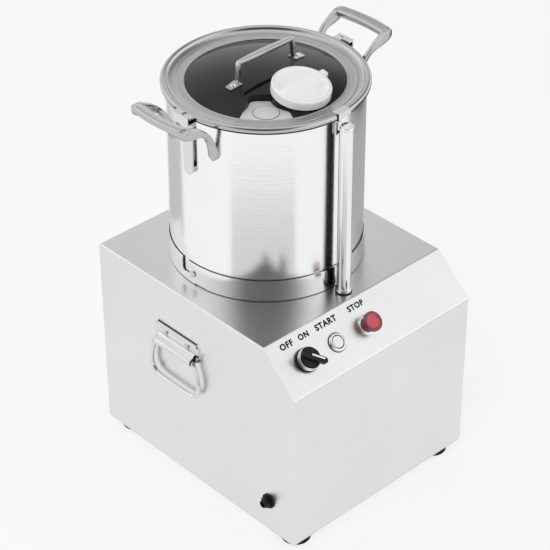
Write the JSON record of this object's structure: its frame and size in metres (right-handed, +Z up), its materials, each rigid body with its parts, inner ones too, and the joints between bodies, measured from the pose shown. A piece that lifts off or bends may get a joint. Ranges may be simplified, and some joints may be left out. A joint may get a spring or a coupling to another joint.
{
  "type": "electric food chopper",
  "caption": "Upright electric food chopper: stainless motor base with a sloped control panel, a locking pot with cutter, domed lid and feed cap.",
  "frame": {"origin": "centre of the bounding box's footprint, on the floor under the feet", "axes": "+Z up along the pot axis, -Y towards the control panel, +X to the right of someone facing the panel"},
  "size_m": [0.4282, 0.424, 0.681],
  "materials": {
    "brushed_steel": "fine brushed stainless sheet",
    "polished_steel": "mirror-polished stainless steel",
    "cast_steel": "satin investment-cast stainless steel",
    "plain_steel": "plain zinc-plated steel",
    "blade_steel": "ground hardened stainless steel",
    "motor_alloy": "cast aluminium",
    "motor_iron": "laminated electrical steel with lacquered copper",
    "black_rubber": "black moulded rubber",
    "black_plastic": "black nylon",
    "grey_plastic": "grey moulded plastic",
    "white_plastic": "white moulded plastic",
    "red_plastic": "red moulded plastic",
    "smoked_window": "smoked clear polycarbonate"
  },
  "bodies": {
    "base": {"base_housing": "brushed_steel", "bottom_plate": "plain_steel", "rubber_feet": "black_rubber", "foot_screws": "plain_steel", "seat_ring": "polished_steel", "hinge_plate_left": "brushed_steel", "hinge_plate_right": "brushed_steel", "hinge_plate_screws": "plain_steel", "gland_body": "black_plastic", "gland_nut": "black_plastic", "selector_bezel": "polished_steel", "start_bezel": "polished_steel", "stop_bezel": "polished_steel", "contact_blocks": "grey_plastic", "lock_nuts": "plain_steel", "mount_plate": "plain_steel", "motor_top_shield": "motor_alloy", "motor_frame": "motor_alloy", "stator": "motor_iron", "motor_bottom_shield": "motor_alloy", "flange_bolts": "plain_steel", "bearings": "plain_steel", "shaft_seal": "black_rubber", "fan_cover": "plain_steel", "capacitor": "motor_alloy", "contactor": "grey_plastic", "post_tube": "polished_steel", "post_cap": "polished_steel", "post_gasket": "black_rubber", "interlock_sensor": "grey_plastic"},
    "rotor": {"motor_shaft": "polished_steel", "rotor_core": "motor_iron", "fan": "grey_plastic", "cutter_hub": "blade_steel", "lower_knife": "blade_steel", "upper_knife": "blade_steel", "knife_clamp": "blade_steel", "hub_nut": "black_plastic"},
    "pot": {"pot_shell": "polished_steel", "centre_tube": "polished_steel", "bayonet_pins": "polished_steel", "pot_handle_left": "cast_steel", "pot_handle_right": "cast_steel", "lid_catches": "cast_steel"},
    "gasket": {"lid_gasket": "black_rubber"},
    "lid": {"lid_ring": "brushed_steel", "lid_window": "smoked_window", "window_ring": "brushed_steel", "interlock_lug": "brushed_steel", "interlock_magnet": "plain_steel", "port_plate": "white_plastic", "port_disc": "white_plastic", "lid_handle": "polished_steel", "handle_screws": "polished_steel"},
    "cap": {"feed_cap": "white_plastic"},
    "selector": {"selector_knob": "black_plastic"},
    "start": {"start_button": "white_plastic"},
    "stop": {"stop_button": "red_plastic"},
    "bail_left": {"side_bail_left": "polished_steel"},
    "bail_right": {"side_bail_right": "polished_steel"}
  },
  "joints": [
    {"name": "cutter_spin", "type": "hinge", "parent": "base", "child": "rotor", "pos_m": [0, 0.036, 0.3], "axis": [0, 0, 1], "continuous": true},
    {"name": "pot_turn", "type": "hinge", "parent": "base", "child": "pot", "pos_m": [0, 0.036, 0.36], "axis": [0, 0, 1], "range_deg": [-8, 0]},
    {"name": "lid_lift", "type": "slide", "parent": "pot", "child": "gasket", "axis": [0, 0, 1], "range_m": [0, 0.1]},
    {"name": "lid_turn", "type": "hinge", "parent": "gasket", "child": "lid", "pos_m": [0, 0.036, 0.633], "axis": [0, 0, 1], "range_deg": [-5.5, 0]},
    {"name": "cap_lift", "type": "slide", "parent": "lid", "child": "cap", "axis": [0, -0.1721, 0.9851], "range_m": [0, 0.06]},
    {"name": "selector_turn", "type": "hinge", "parent": "base", "child": "selector", "pos_m": [-0.127, -0.1879, 0.32382], "axis": [0, -0.6778, 0.7352], "range_deg": [-90, 0]},
    {"name": "start_press", "type": "slide", "parent": "base", "child": "start", "axis": [0, 0.6778, -0.7352], "range_m": [0, 0.003], "stiffness_N_per_m": 400, "springref_m": -0.003},
    {"name": "stop_press", "type": "slide", "parent": "base", "child": "stop", "axis": [0, 0.6778, -0.7352], "range_m": [0, 0.0035], "stiffness_N_per_m": 500, "springref_m": -0.003},
    {"name": "bail_left_swing", "type": "hinge", "parent": "base", "child": "bail_left", "pos_m": [-0.188, 0.036, 0.245], "axis": [0, 1, 0], "range_deg": [0, 175]},
    {"name": "bail_right_swing", "type": "hinge", "parent": "base", "child": "bail_right", "pos_m": [0.188, 0.036, 0.245], "axis": [0, -1, 0], "range_deg": [0, 175]}
  ]
}
